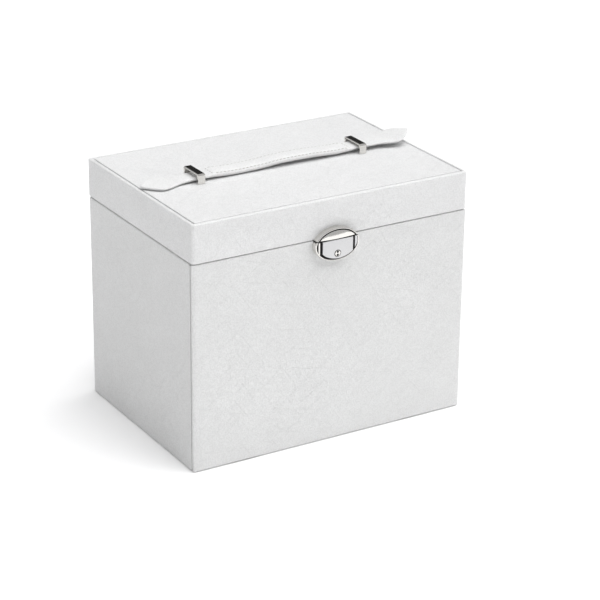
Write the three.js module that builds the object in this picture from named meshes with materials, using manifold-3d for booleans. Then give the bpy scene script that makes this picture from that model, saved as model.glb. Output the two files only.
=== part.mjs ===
// Jewellery chest with drawers: a leather-covered box with a rear-hinged lid, a front panel that
// folds down on two bottom hinges, three drawers behind it, a ring tray under the lid, an oval
// latch that joins lid and front panel, and a strap handle that runs through two metal loops.
//
// Units are millimetres. +Z is up, the front faces -Y, +X is to the right as seen from the front.
// The origin is the middle of the chest's footprint, on the surface that it stands on.

import * as THREE from 'three';
import { mergeVertices } from 'three/addons/utils/BufferGeometryUtils.js';
import Module from 'manifold-3d';

const wasm = await Module();
wasm.setup();

// ---------------------------------------------------------------- driving dimensions

const WIDTH = 242;              // outside, left to right
const DEPTH = 172;              // outside, front face to back face
const HEIGHT = 200;             // table to top of lid, without the handle
const SEAM_Z = 168.4;           // top edge of the body
const SEAM_GAP = 0.8;           // dark line between lid and body
const FIT = 0.3;                // gap between pieces that touch
const WALL = 7;                 // side and back boards
const BASE = 9;                 // floor board

const DOOR = 3.2;               // folding front board
const DOOR_GAP = 1.2;           // between the front board and the side boards' front edges
const DOOR_LIFT = 0.3;          // under the front board's rounded bottom edge
const DOOR_LINING = 1;          // lining inside the front board

const LID_WALL = 6;             // lid side boards
const LID_TOP = 5.3;            // lid top board
const LID_RIM = 3.2;            // edge of the lid top outside its groove
const LID_GROOVE = 1;           // width of that groove
const LID_GROOVE_DEPTH = 1.2;

const DRAWER_FACE_Y = -66;      // front of the drawer fronts
const DRAWER_FACE = 6;          // thickness of a drawer front
const DRAWER_SLACK = 0.6;       // running gap around a drawer
const SHELF = 3;                // boards between the drawers
const DRAWER_HEIGHTS = { bottom: 42, middle: 34, top: 28 };
const TRAY_FLOOR = 4;           // floor of the ring tray
const TRAY_TOP_Z = 166;         // top of the ring tray's front wall and dividers

const LOCK_Z = 164.4;           // middle of the oval latch
const LOCK_A = 19.3;            // half its width
const LOCK_B = 13.1;            // half its height
const LOCK_PROUD = 5.4;         // how far its rim stands out
const LOCK_RIM = 1.2;           // width of its raised rim
const SLIDER_TRAVEL = 2;        // the latch plate slides this far to the left

const LOOP_X = 72.3;            // handle loops, left and right of the middle
const LOOP_SPAN = 24;           // loop, front to back
const LOOP_WIDTH = 6.2;         // loop, left to right
const LOOP_HEIGHT = 8;          // loop, above the lid
const LOOP_BAR = 2.4;           // thickness of its bar and legs

const STRAP_WIDTH = 16;         // strap inside the loops
const STRAP_THICK = 3.6;        // padded grip
const STRAP_MIDDLE = 1.7;       // the strap lies this far to the right of the middle
const TAIL_THICK = 2;           // flat ends outside the loops
const TAIL_NECK = 87;           // from the strap's middle to where a tail starts to widen
const TAIL_WIDEST = 107;        // from the strap's middle to a tail's widest place
const TAIL_TIP = 120.3;         // from the strap's middle to a tail's pointed tip
const TAIL_HALF = 13.2;         // half the width of a tail at its widest
const TAIL_POINT = 0.8;         // how full the pointed end is: 1 is straight-sided
// The strap's underside: places along x, and heights.
const GRIP_RUN = [
  [-67.6, 201.9], [-61, 201.7], [-50, 201.1], [-40, 200.7], [-30, 200.9], [-20, 201.2], [-13, 201.6],
  [-3, 202.5], [5, 202.7], [25, 202.7], [35, 202.4], [46, 201.8], [52, 201.6], [57, 201.9], [67.6, 202.4],
];
const TAIL_RUNS = {
  left: [
    [-118.6, 201], [-113, 200.8], [-103, 200.7], [-95, 200.6], [-88, 200.9], [-80, 201.6], [-68.7, 202],
  ],
  right: [
    [68.7, 203.2], [84, 203.2], [94, 203.4], [100, 203.6], [104, 204.1], [108, 205.2], [112, 206.5],
    [116, 207.2], [122, 207.9],
  ],
};

const LID_HINGE_X = 72;         // rear hinges, left and right of the middle
const LID_HINGE_LENGTH = 30;
const LID_KNUCKLE = 1.8;        // knuckle radius
const DOOR_HINGE_X = 78;        // bottom hinges of the front panel
const DOOR_HINGE_LENGTH = 26;
const DOOR_KNUCKLE = 1.4;
const LEAF = 1;                 // thickness of a hinge leaf

// ---------------------------------------------------------------- derived places

const X = WIDTH / 2;
const FRONT = -DEPTH / 2;
const BACK = DEPTH / 2;
const DOOR_BACK = FRONT + DOOR;                     // inner face of the front board
const BODY_FRONT = DOOR_BACK + DOOR_GAP;            // front edges of base and side boards
const INNER_X = X - WALL;                           // inner face of a side board
const INNER_BACK = BACK - WALL;                     // inner face of the back board
const LID_Z = SEAM_Z + SEAM_GAP;                    // bottom edge of the lid
const LID_BOARD_Z = HEIGHT - LID_TOP;               // underside of the lid's top board
const DOOR_AXIS = { y: FRONT + DOOR / 2, z: DOOR_LIFT + DOOR / 2 };
const LID_AXIS = { y: BACK + 2.3, z: SEAM_Z + SEAM_GAP / 2 };
const LOCK_FRONT = FRONT - LOCK_PROUD;
const TONGUE = { half: 6, bottom: LOCK_Z - 4.4, back: FRONT - 0.9, thick: 1.4, slack: 0.8 };

// ---------------------------------------------------------------- materials

const finish = (color, roughness, metalness = 0) =>
  new THREE.MeshStandardMaterial({ color, roughness, metalness });

const leather = finish(0xf1f1ef, 0.55);
const velvet = finish(0xcfc8bf, 0.95);
const foam = finish(0xd8d2ca, 0.95);
const nickel = finish(0xc9c8c4, 0.18, 1);
const brushed = finish(0xb9bbbd, 0.35, 1);
const steel = finish(0x9a9a98, 0.3, 1);
const mirror = finish(0xdfe6e8, 0.03, 1);

// ---------------------------------------------------------------- modelling helpers

const chest = new THREE.Group();

function add(name, geometry, material) {
  const mesh = new THREE.Mesh(geometry, material);
  mesh.name = name;
  chest.add(mesh);
  return mesh;
}

// A box from its lowest corner to its highest one.
function block(low, high) {
  const size = high.map((v, i) => v - low[i]);
  const geometry = new THREE.BoxGeometry(...size);
  geometry.translate(...high.map((v, i) => (v + low[i]) / 2));
  return geometry;
}

// A box that is mirrored about the middle: half-width in x, then y and z limits.
const centred = (half, y0, y1, z0, z1) => block([-half, y0, z0], [half, y1, z1]);

function toSolid(geometry) {
  const bare = geometry.clone();
  bare.deleteAttribute('normal');
  bare.deleteAttribute('uv');
  const merged = mergeVertices(bare, 1e-4);
  return new wasm.Manifold(new wasm.Mesh({
    numProp: 3,
    vertProperties: new Float32Array(merged.attributes.position.array),
    triVerts: new Uint32Array(merged.index.array),
  }));
}

function toGeometry(solid) {
  const mesh = solid.getMesh();
  const geometry = new THREE.BufferGeometry();
  geometry.setAttribute('position', new THREE.BufferAttribute(mesh.vertProperties, 3));
  geometry.setIndex(new THREE.BufferAttribute(mesh.triVerts, 1));
  geometry.computeVertexNormals();
  return geometry;
}

const cut = (geometry, ...tools) =>
  toGeometry(tools.reduce((solid, tool) => solid.subtract(toSolid(tool)), toSolid(geometry)));
const join = (...pieces) =>
  toGeometry(pieces.slice(1).reduce((solid, piece) => solid.add(toSolid(piece)), toSolid(pieces[0])));
const common = (...pieces) =>
  toGeometry(pieces.slice(1).reduce((s, piece) => s.intersect(toSolid(piece)), toSolid(pieces[0])));

// A cylinder along x, between x0 and x1, round the line (y, z).
function rodX(radius, x0, x1, { y, z }, segments = 20) {
  const geometry = new THREE.CylinderGeometry(radius, radius, x1 - x0, segments);
  geometry.rotateZ(Math.PI / 2);
  geometry.translate((x0 + x1) / 2, y, z);
  return geometry;
}

// A cylinder along y, between y0 and y1, round the line (x, z).
function rodY(radius, y0, y1, x, z, segments = 24) {
  const geometry = new THREE.CylinderGeometry(radius, radius, y1 - y0, segments);
  geometry.translate(x, (y0 + y1) / 2, z);
  return geometry;
}

// An outline drawn in x and z as seen from the front, carried from y0 to y1 (y0 < y1).
function extrudeY(shape, y0, y1, segments = 24) {
  const geometry = new THREE.ExtrudeGeometry(shape, {
    depth: y1 - y0, bevelEnabled: false, curveSegments: segments,
  });
  geometry.rotateX(Math.PI / 2);
  geometry.translate(0, y1, 0);
  return geometry;
}

// An outline drawn in y and z, carried from x0 to x1.
function extrudeX(shape, x0, x1, segments = 10) {
  const geometry = new THREE.ExtrudeGeometry(shape, {
    depth: x1 - x0, bevelEnabled: false, curveSegments: segments,
  });
  geometry.rotateY(Math.PI / 2);
  geometry.rotateX(Math.PI / 2);
  geometry.translate(x0, 0, 0);
  return geometry;
}

function ellipse(a, b, centreX = 0) {
  const shape = new THREE.Shape();
  shape.absellipse(centreX, LOCK_Z, a, b, 0, Math.PI * 2, false, 0);
  return shape;
}

// ---------------------------------------------------------------- carcass

const doorHinges = [['left', -DOOR_HINGE_X], ['right', DOOR_HINGE_X]];
const lidHinges = [['left', -LID_HINGE_X], ['right', LID_HINGE_X]];

function carcass() {
  const mortises = doorHinges.map(([, x]) => block(
    [x - DOOR_HINGE_LENGTH / 2 - FIT, BODY_FRONT - 1, -1],
    [x + DOOR_HINGE_LENGTH / 2 + FIT, BODY_FRONT + LEAF + FIT, BASE + 1],
  ));
  add('base_panel', cut(centred(INNER_X - FIT, BODY_FRONT, INNER_BACK - FIT, 0, BASE), ...mortises), leather);
  add('side_panel_left', block([-X, BODY_FRONT, 0], [-INNER_X, INNER_BACK - FIT, SEAM_Z]), leather);
  add('side_panel_right', block([INNER_X, BODY_FRONT, 0], [X, INNER_BACK - FIT, SEAM_Z]), leather);
  add('back_panel', centred(X, INNER_BACK, BACK, 0, SEAM_Z), leather);
}

// ---------------------------------------------------------------- drawers and shelves

const KNOB_PROFILE = [
  [0, 0], [2.2, 0], [2.2, 0.8], [1.5, 1.6], [1.5, 4], [3.6, 5.4], [4.4, 6.6], [4, 7.8], [2.4, 8.5], [0, 8.7],
];

function knob(z) {
  const points = KNOB_PROFILE.map(([r, h]) => new THREE.Vector2(r, h));
  const geometry = new THREE.LatheGeometry(points, 20);
  geometry.rotateX(Math.PI);
  geometry.translate(0, DRAWER_FACE_Y - FIT, z);
  return geometry;
}

const DRAWER_WALL = 4;
const DRAWER_FLOOR = 3;
const TUB = { half: INNER_X - 1.4, front: DRAWER_FACE_Y + DRAWER_FACE + FIT, back: INNER_BACK - 1.5 };
const TUB_INNER = {
  half: TUB.half - DRAWER_WALL, front: TUB.front + DRAWER_WALL, back: TUB.back - DRAWER_WALL,
};

// Upright partitions inside a drawer: walls along y at each x, and walls along x at each y.
function partitions(z0, z1, alongY, alongX) {
  const thick = 1.5;
  const { half, front, back } = TUB_INNER;
  const walls = [
    ...alongY.map((x) => block([x - thick, front + FIT, z0], [x + thick, back - FIT, z1])),
    ...alongX.map((y) => centred(half - FIT, y - thick, y + thick, z0, z1)),
  ];
  return join(...walls);
}

function drawer(level, z0, height, alongY, alongX) {
  const z1 = z0 + height;
  const tubTop = z1 - 3;
  const { half, front, back } = TUB;
  const hollow = centred(TUB_INNER.half, TUB_INNER.front, TUB_INNER.back, z0 + DRAWER_FLOOR, z1);
  add(`drawer_tub_${level}`, cut(centred(half, front, back, z0, tubTop), hollow), velvet);
  const faceHalf = INNER_X - 1;
  add(`drawer_front_${level}`,
    centred(faceHalf, DRAWER_FACE_Y, DRAWER_FACE_Y + DRAWER_FACE, z0, z1), leather);
  add(`drawer_knob_${level}`, knob(z0 + height / 2), nickel);
  const low = z0 + DRAWER_FLOOR + FIT;
  add(`drawer_divider_${level}`, partitions(low, tubTop - 2, alongY, alongX), velvet);
}

function shelf(name, z, thick) {
  add(name, centred(INNER_X - FIT, DRAWER_FACE_Y, INNER_BACK - FIT, z, z + thick), velvet);
}

function drawersAndShelves() {
  let z = BASE + DRAWER_SLACK;
  drawer('bottom', z, DRAWER_HEIGHTS.bottom, [0], [10]);
  z += DRAWER_HEIGHTS.bottom + DRAWER_SLACK;
  shelf('shelf_lower', z, SHELF);
  z += SHELF + DRAWER_SLACK;
  drawer('middle', z, DRAWER_HEIGHTS.middle, [-36, 36], [10]);
  z += DRAWER_HEIGHTS.middle + DRAWER_SLACK;
  shelf('shelf_upper', z, SHELF);
  z += SHELF + DRAWER_SLACK;
  drawer('top', z, DRAWER_HEIGHTS.top, [-54, 0, 54], [10]);
  z += DRAWER_HEIGHTS.top + DRAWER_SLACK;
  shelf('tray_floor', z, TRAY_FLOOR);
  return z + TRAY_FLOOR;
}

// ---------------------------------------------------------------- ring tray under the lid

function ringTray(floor) {
  const z0 = floor + FIT;
  const front = DRAWER_FACE_Y + DRAWER_FACE;
  const back = INNER_BACK - FIT;
  const half = INNER_X - FIT;
  const thick = 3;
  const splitX = -20;
  const rollCount = 5;
  const rollPitch = 19;
  const rollEnd = front + 1 + rollCount * rollPitch;
  const rightY = 14;
  add('tray_front_wall', centred(half, DRAWER_FACE_Y, front, z0, TRAY_TOP_Z), leather);
  add('tray_divider_long', block([splitX, front + FIT, z0], [splitX + thick, back, TRAY_TOP_Z - 4]), velvet);
  add('tray_divider_left',
    block([-half, rollEnd, z0], [splitX - FIT, rollEnd + thick, TRAY_TOP_Z - 4]), velvet);
  add('tray_divider_right',
    block([splitX + thick + FIT, rightY, z0], [half, rightY + thick, TRAY_TOP_Z - 4]), velvet);

  const radius = rollPitch / 2 - 0.4;
  const flat = 8;                // straight sides below the rounded top
  for (let i = 0; i < rollCount; i += 1) {
    const y = front + 1 + rollPitch * (i + 0.5);
    const shape = new THREE.Shape();
    shape.moveTo(y - radius, z0);
    shape.lineTo(y + radius, z0);
    shape.lineTo(y + radius, z0 + flat);
    shape.absarc(y, z0 + flat, radius, 0, Math.PI, false);
    shape.closePath();
    add(`ring_roll_${i + 1}`, extrudeX(shape, -half + 0.5, splitX - 0.8), foam);
  }
}

// ---------------------------------------------------------------- lid

function lid() {
  const side = { low: LID_Z, high: LID_BOARD_Z - FIT };
  const grooveTool = cut(
    centred(X - LID_RIM, FRONT + LID_RIM, BACK - LID_RIM, HEIGHT - LID_GROOVE_DEPTH, HEIGHT + 1),
    centred(X - LID_RIM - LID_GROOVE, FRONT + LID_RIM + LID_GROOVE, BACK - LID_RIM - LID_GROOVE,
      HEIGHT - 3, HEIGHT + 3),
  );
  add('lid_top_board', cut(centred(X, FRONT, BACK, LID_BOARD_Z, HEIGHT), grooveTool), leather);
  add('lid_front_board', centred(X, FRONT, FRONT + LID_WALL, side.low, side.high), leather);
  add('lid_back_board', centred(X, BACK - LID_WALL, BACK, side.low, side.high), leather);
  const y0 = FRONT + LID_WALL + FIT;
  const y1 = BACK - LID_WALL - FIT;
  add('lid_side_board_left', block([-X, y0, side.low], [-X + LID_WALL, y1, side.high]), leather);
  add('lid_side_board_right', block([X - LID_WALL, y0, side.low], [X, y1, side.high]), leather);

  const mirrorHalf = 88;
  const mirrorDepth = 60;
  const padThick = 3;
  const zTop = side.high;
  add('mirror_surround', cut(
    centred(X - LID_WALL - FIT, y0, y1, zTop - padThick, zTop),
    centred(mirrorHalf + FIT, -mirrorDepth - FIT, mirrorDepth + FIT, zTop - 10, zTop + 10),
  ), velvet);
  add('lid_mirror', centred(mirrorHalf, -mirrorDepth, mirrorDepth, zTop - 2, zTop), mirror);
}

// ---------------------------------------------------------------- hinges

// One leaf of a butt hinge: a plate, tabs, and its knuckles round the axis, bored for the pin.
function hingeLeaf(axis, radius, knuckles, plate, tab, pin) {
  const pieces = [block(...plate)];
  for (const [x0, x1] of knuckles) {
    pieces.push(block([x0, tab.y0, tab.z0], [x1, tab.y1, tab.z1]));
    pieces.push(rodX(radius, x0, x1, axis));
  }
  const ends = knuckles.flat();
  const bore = rodX(pin + 0.2, Math.min(...ends) - 1, Math.max(...ends) + 1, axis, 16);
  return cut(join(...pieces), bore);
}

// Knuckle stretches along x: the middle one belongs to one leaf and the outer two to the other.
function knuckleStretches(x, length) {
  const third = length / 3;
  const ends = [x - length / 2, x - third / 2, x + third / 2, x + length / 2];
  return {
    middle: [[ends[1] + 0.2, ends[2] - 0.2]],
    outer: [[ends[0], ends[1] - 0.2], [ends[2] + 0.2, ends[3]]],
  };
}

function rearHinges() {
  const pin = 0.8;
  const y0 = BACK + FIT;
  const y1 = y0 + LEAF;
  const reach = 14;
  for (const [side, x] of lidHinges) {
    const { middle, outer } = knuckleStretches(x, LID_HINGE_LENGTH);
    const x0 = x - LID_HINGE_LENGTH / 2;
    const x1 = x + LID_HINGE_LENGTH / 2;
    const clear = LID_KNUCKLE + 0.4;
    const low = LID_AXIS.z - clear;
    const high = LID_AXIS.z + clear;
    add(`lid_hinge_body_leaf_${side}`, hingeLeaf(LID_AXIS, LID_KNUCKLE, middle,
      [[x0, y0, low - reach], [x1, y1, low]], { y0, y1, z0: low - 1, z1: LID_AXIS.z - 0.2 }, pin), steel);
    add(`lid_hinge_lid_leaf_${side}`, hingeLeaf(LID_AXIS, LID_KNUCKLE, outer,
      [[x0, y0, high], [x1, y1, high + reach]], { y0, y1, z0: LID_AXIS.z + 0.2, z1: high + 1 }, pin), steel);
    add(`lid_hinge_pin_${side}`, rodX(pin, x0 - 0.4, x1 + 0.4, LID_AXIS, 16), steel);
  }
}

const DOOR_MORTISE = { depth: LEAF + FIT, height: 15 };
const DOOR_NOTCH_TOP = DOOR_AXIS.z + DOOR_KNUCKLE + 0.8;

function frontHinges() {
  const pin = 0.5;
  for (const [side, x] of doorHinges) {
    const { middle, outer } = knuckleStretches(x, DOOR_HINGE_LENGTH);
    const x0 = x - DOOR_HINGE_LENGTH / 2;
    const x1 = x + DOOR_HINGE_LENGTH / 2;
    const bodyY = BODY_FRONT + FIT;
    add(`front_hinge_base_leaf_${side}`, hingeLeaf(DOOR_AXIS, DOOR_KNUCKLE, middle,
      [[x0, bodyY, 0.6], [x1, bodyY + LEAF, BASE - 0.2]],
      { y0: DOOR_AXIS.y + 0.6, y1: bodyY + 0.2, z0: 0.8, z1: 2.6 }, pin), steel);
    const leafY = DOOR_BACK - LEAF;
    add(`front_hinge_panel_leaf_${side}`, hingeLeaf(DOOR_AXIS, DOOR_KNUCKLE, outer,
      [[x0, leafY, DOOR_NOTCH_TOP - 0.6], [x1, DOOR_BACK, DOOR_MORTISE.height]],
      { y0: leafY, y1: DOOR_BACK, z0: DOOR_AXIS.z, z1: DOOR_NOTCH_TOP }, pin), steel);
    add(`front_hinge_pin_${side}`, rodX(pin, x0 + 0.2, x1 - 0.2, DOOR_AXIS, 16), steel);
  }
}

// ---------------------------------------------------------------- folding front panel

function frontPanel() {
  const section = new THREE.Shape();      // in y and z, with a round bottom edge about the hinge axis
  section.moveTo(DOOR_BACK, DOOR_AXIS.z);
  section.lineTo(DOOR_BACK, SEAM_Z);
  section.lineTo(FRONT, SEAM_Z);
  section.lineTo(FRONT, DOOR_AXIS.z);
  section.absarc(DOOR_AXIS.y, DOOR_AXIS.z, DOOR / 2, Math.PI, Math.PI * 2, false);
  const tools = [latchMortise()];
  for (const [, x] of doorHinges) {
    const half = DOOR_HINGE_LENGTH / 2 + FIT;
    tools.push(block([x - half, FRONT - 1, -1], [x + half, DOOR_BACK + 1, DOOR_NOTCH_TOP]));
    tools.push(block([x - half, DOOR_BACK - DOOR_MORTISE.depth, 0], [x + half, DOOR_BACK + 1,
      DOOR_MORTISE.height + FIT]));
  }
  add('front_panel', cut(extrudeX(section, -X, X), ...tools), leather);
  const y0 = DOOR_BACK + FIT;
  add('front_panel_lining', cut(
    centred(INNER_X - 2, y0, y0 + DOOR_LINING, DOOR_MORTISE.height + 1, TRAY_TOP_Z), latchMortise(),
  ), velvet);
}

// Clearance for the lid's tongue, through the front board and open at its top edge.
function latchMortise() {
  return centred(TONGUE.half + TONGUE.slack, FRONT - 0.1, DOOR_BACK + 5,
    TONGUE.bottom - TONGUE.slack, SEAM_Z + 5);
}

// ---------------------------------------------------------------- oval latch

const POCKET = { a: LOCK_A - LOCK_RIM, b: LOCK_B - LOCK_RIM, floor: LOCK_FRONT + 1.5 };
const RIB = { x0: -17.2, x1: -15.9 };                          // upright rib left of the slider
const PLATE = { x0: -13.6, x1: 13.7, plugZ: LOCK_Z - 7.2 };    // slider plate and its key plug
const PLUG = { radius: 2.6, hole: 2.9, grooveOut: 1.7, grooveIn: 0.7 };

// The oval boss with its raised rim: everything on both sides of the seam.
const ovalBoss = () => extrudeY(ellipse(LOCK_A, LOCK_B), LOCK_FRONT, FRONT - FIT);

function latchHasp() {
  const boss = common(ovalBoss(), centred(X, LOCK_FRONT - 5, FRONT, LID_Z, HEIGHT));
  const groove = cut(
    extrudeY(ellipse(POCKET.a, POCKET.b), LOCK_FRONT - 1, LOCK_FRONT + 0.8),
    extrudeY(ellipse(POCKET.a - 0.7, POCKET.b - 0.7), LOCK_FRONT - 2, LOCK_FRONT + 2),
  );
  const y1 = TONGUE.back;
  const tongue = centred(TONGUE.half, y1 - TONGUE.thick, y1, TONGUE.bottom, LID_Z + 2);
  const catchHole = centred(2.6, y1 - 4, y1 + 4, TONGUE.bottom + 1.6, TONGUE.bottom + 4.4);
  add('latch_hasp', cut(join(cut(boss, groove), tongue), catchHole), nickel);
}

function latchBody() {
  const boss = common(ovalBoss(), centred(X, LOCK_FRONT - 5, FRONT, 0, SEAM_Z));
  const pocket = extrudeY(ellipse(POCKET.a, POCKET.b), LOCK_FRONT - 1, POCKET.floor);
  const tonguePocket = centred(TONGUE.half + TONGUE.slack, TONGUE.back - TONGUE.thick - 0.4, FRONT + 1,
    TONGUE.bottom - TONGUE.slack, SEAM_Z + 5);
  const rib = block([RIB.x0, LOCK_FRONT + 0.2, LOCK_Z - 5], [RIB.x1, POCKET.floor + 0.5, SEAM_Z - 0.2]);
  add('latch_body', join(cut(boss, pocket, tonguePocket), rib), nickel);
}

function latchSlider() {
  const edge = 0.3;
  const y0 = LOCK_FRONT - 0.3;
  const y1 = POCKET.floor - FIT;
  const plate = common(
    extrudeY(ellipse(POCKET.a - edge, POCKET.b - edge), y0, y1),
    extrudeY(ellipse(POCKET.a - edge, POCKET.b - edge, SLIDER_TRAVEL), y0, y1),
    block([PLATE.x0, y0 - 1, 0], [PLATE.x1, y1 + 1, SEAM_Z - 0.1]),
  );
  const { plugZ } = PLATE;
  add('latch_slider', cut(plate, rodY(PLUG.hole, y0 - 1, y1 + 1, 0, plugZ)), brushed);
  const barrel = rodY(PLUG.radius, y0 - 0.3, y1, 0, plugZ);
  const core = rodY(PLUG.grooveIn, y0 - 2, y0 + 2, 0, plugZ, 12);
  const ring = cut(rodY(PLUG.grooveOut, y0 - 1, y0 + 0.7, 0, plugZ, 16), core);
  add('key_plug', cut(barrel, ring), nickel);
}

// ---------------------------------------------------------------- handle

function loops() {
  for (const [side, x] of [['left', -LOOP_X], ['right', LOOP_X]]) {
    const z0 = HEIGHT + FIT;
    const z1 = HEIGHT + LOOP_HEIGHT;
    const half = LOOP_SPAN / 2;
    const chamfer = 0.8;
    const shape = new THREE.Shape();     // seen along x: a staple with its top corners cut off
    shape.moveTo(-half, z0);
    shape.lineTo(-half + LOOP_BAR, z0);
    shape.lineTo(-half + LOOP_BAR, z1 - LOOP_BAR);
    shape.lineTo(half - LOOP_BAR, z1 - LOOP_BAR);
    shape.lineTo(half - LOOP_BAR, z0);
    shape.lineTo(half, z0);
    shape.lineTo(half, z1 - chamfer);
    shape.lineTo(half - chamfer, z1);
    shape.lineTo(-half + chamfer, z1);
    shape.lineTo(-half, z1 - chamfer);
    shape.closePath();
    add(`handle_loop_${side}`, extrudeX(shape, x - LOOP_WIDTH / 2, x + LOOP_WIDTH / 2), nickel);
  }
}

// A side view of a strap: its underside along a run of places, and its top this much higher.
function strapSide(run, thick) {
  const shape = new THREE.Shape();
  shape.moveTo(...run[0]);
  run.slice(1).forEach(([x, z]) => shape.lineTo(x, z));
  [...run].reverse().forEach(([x, z]) => shape.lineTo(x, z + thick));
  return shape;
}

function strapGrip() {
  add('strap_grip', extrudeY(strapSide(GRIP_RUN, STRAP_THICK), -STRAP_WIDTH / 2, STRAP_WIDTH / 2), leather);
}

// Half the width of a tail at a distance from the strap's middle: a neck, a flare, and a pointed end.
function tailHalf(distance) {
  const neck = STRAP_WIDTH / 2 - 0.2;
  if (distance > TAIL_WIDEST) {
    const t = (distance - TAIL_WIDEST) / (TAIL_TIP - TAIL_WIDEST);
    return TAIL_HALF * Math.max(0, 1 - t) ** TAIL_POINT;
  }
  const t = Math.max(0, (distance - TAIL_NECK) / (TAIL_WIDEST - TAIL_NECK));
  return neck + (TAIL_HALF - neck) * t * t * (3 - 2 * t);
}

// A tail: its outline seen from above, met with its side view.
function strapTail(side, sign) {
  const run = TAIL_RUNS[side];
  const start = Math.min(...run.map(([x]) => Math.abs(x))) - sign * STRAP_MIDDLE;
  const distances = [start, TAIL_NECK, 92, 97, 102, TAIL_WIDEST, 110.5, 113.5, 116, 118, 119.5];
  const edge = distances.map((d) => [STRAP_MIDDLE + sign * d, tailHalf(d)]);
  const plan = new THREE.Shape();
  plan.moveTo(edge[0][0], -edge[0][1]);
  edge.slice(1).forEach(([x, half]) => plan.lineTo(x, -half));
  plan.lineTo(STRAP_MIDDLE + sign * TAIL_TIP, 0);
  [...edge].reverse().forEach(([x, half]) => plan.lineTo(x, half));
  const above = new THREE.ExtrudeGeometry(plan, { depth: 20, bevelEnabled: false });
  above.translate(0, 0, HEIGHT);
  const reach = 30;
  add(`strap_tail_${side}`, common(above, extrudeY(strapSide(run, TAIL_THICK), -reach, reach)), leather);
}

// ---------------------------------------------------------------- assembly

carcass();
ringTray(drawersAndShelves());
rearHinges();
frontHinges();
lid();
loops();
frontPanel();
latchHasp();
latchBody();
latchSlider();
strapGrip();
strapTail('left', -1);
strapTail('right', 1);

export default chest;
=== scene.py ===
"""The jewellery chest's visual model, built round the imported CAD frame.

Lengths are in millimetres until a mesh is finished, which puts it in the frame's metres. +Z is up,
the front faces -Y, and the origin is the middle of the footprint on the table.
"""

import math

import bmesh
import bpy
from mathutils import Matrix, Vector


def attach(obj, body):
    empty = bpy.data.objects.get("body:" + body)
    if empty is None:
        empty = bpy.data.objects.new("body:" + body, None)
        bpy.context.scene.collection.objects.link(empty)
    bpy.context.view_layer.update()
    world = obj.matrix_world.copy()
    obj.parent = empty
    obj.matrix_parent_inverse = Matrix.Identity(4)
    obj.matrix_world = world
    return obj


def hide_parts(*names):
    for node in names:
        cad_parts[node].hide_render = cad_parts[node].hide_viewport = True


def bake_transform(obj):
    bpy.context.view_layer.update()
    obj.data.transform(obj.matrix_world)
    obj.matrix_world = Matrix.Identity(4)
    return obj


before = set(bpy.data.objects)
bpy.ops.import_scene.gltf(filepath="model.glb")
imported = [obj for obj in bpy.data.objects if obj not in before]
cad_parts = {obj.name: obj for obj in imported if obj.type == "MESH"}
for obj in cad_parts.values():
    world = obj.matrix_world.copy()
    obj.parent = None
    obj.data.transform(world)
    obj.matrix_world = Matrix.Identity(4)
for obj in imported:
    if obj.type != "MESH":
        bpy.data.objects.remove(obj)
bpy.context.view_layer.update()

MM = 0.001

# ---------------- places, in millimetres

HALF_X = 121
FRONT = -86
BACK = 86
TOP = 200
SEAM = 168.4                    # top edge of the body
LID_LOW = 169.2                 # bottom edge of the lid
WRAP_LOW = 168.95               # bottom edge of the lid's leather
PANEL_BACK = -82.8              # inner face of the front panel
BODY_FRONT = -81.6              # front edges of the side walls
INNER_X = 114
INNER_BACK = 79
BASE_TOP = 9
FACE_Y = -66                    # drawer fronts, and the ring tray's front wall
FACE_BACK = -60
TRAY_Z = 126.9                  # top of the ring tray's floor
DRAWERS = {                     # level: bottom, height, walls along y, walls along x
    "bottom": (9.6, 42, [0], [10]),
    "middle": (55.8, 34, [-36, 36], [10]),
    "top": (94, 28, [-54, 0, 54], [10]),
}

LOCK_Z = 164.4
LOCK_A = 19.3
LOCK_B = 13.1
LOCK_FACE = 91.4                # how far in front of the middle its rim stands
PLUG_Z = 157.2

DOOR_Y = -84.4                  # the front panel's hinge axis
DOOR_Z = 1.9
DOOR_HINGES = (-78, 78)
DOOR_HINGE_HALF = 13.3          # half the width of the room for one
LID_HINGES = (-72, 72)
NOTCH_X = 6.8                   # half the width, and the bottom, of the room for the hasp's tongue
NOTCH_Z = 159.2

LOOP_X = 72.3


# ---------------- materials

class Nodes:
    """A shader node tree under construction."""

    def __init__(self, tree):
        self.tree = tree
        tree.nodes.clear()

    def add(self, kind, settings=None, **values):
        """A node. settings are its properties, and values its inputs by name, with _ for a space."""
        node = self.tree.nodes.new(kind)
        for key, value in (settings or {}).items():
            setattr(node, key, value)
        for key, value in values.items():
            self.put(node.inputs[key.replace("_", " ")], value)
        return node

    def put(self, socket, value):
        if isinstance(value, bpy.types.NodeSocket):
            self.tree.links.new(value, socket)
        else:
            socket.default_value = value

    def put_all(self, node, values, sockets=None):
        """Fills the node's sockets of these numbers, or its first ones."""
        for index, value in zip(sockets or range(len(values)), values):
            self.put(node.inputs[index], value)

    def math(self, operation, a, b=0.0):
        node = self.add("ShaderNodeMath", {"operation": operation})
        self.put_all(node, (a, b))
        return node.outputs[0]

    def vector_math(self, operation, *values):
        node = self.add("ShaderNodeVectorMath", {"operation": operation})
        self.put_all(node, values)
        return node

    def mix(self, factor, a, b):
        """Between two colours, each a socket or red, green and blue."""
        node = self.add("ShaderNodeMix", {"data_type": "RGBA"})
        colours = [(*value, 1) if isinstance(value, tuple) else value for value in (a, b)]
        self.put_all(node, (factor, *colours), (0, 6, 7))
        return node.outputs[2]

    def span(self, value, from_low, from_high, to_low, to_high):
        node = self.add("ShaderNodeMapRange", {"interpolation_type": "SMOOTHSTEP"})
        self.put_all(node, (value, from_low, from_high, to_low, to_high))
        return node.outputs[0]

    def total(self, *terms):
        """The sum of (value, weight) pairs."""
        parts = [value if weight == 1 else self.math("MULTIPLY", value, weight) for value, weight in terms]
        result = parts[0]
        for part in parts[1:]:
            result = self.math("ADD", result, part)
        return result


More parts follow.
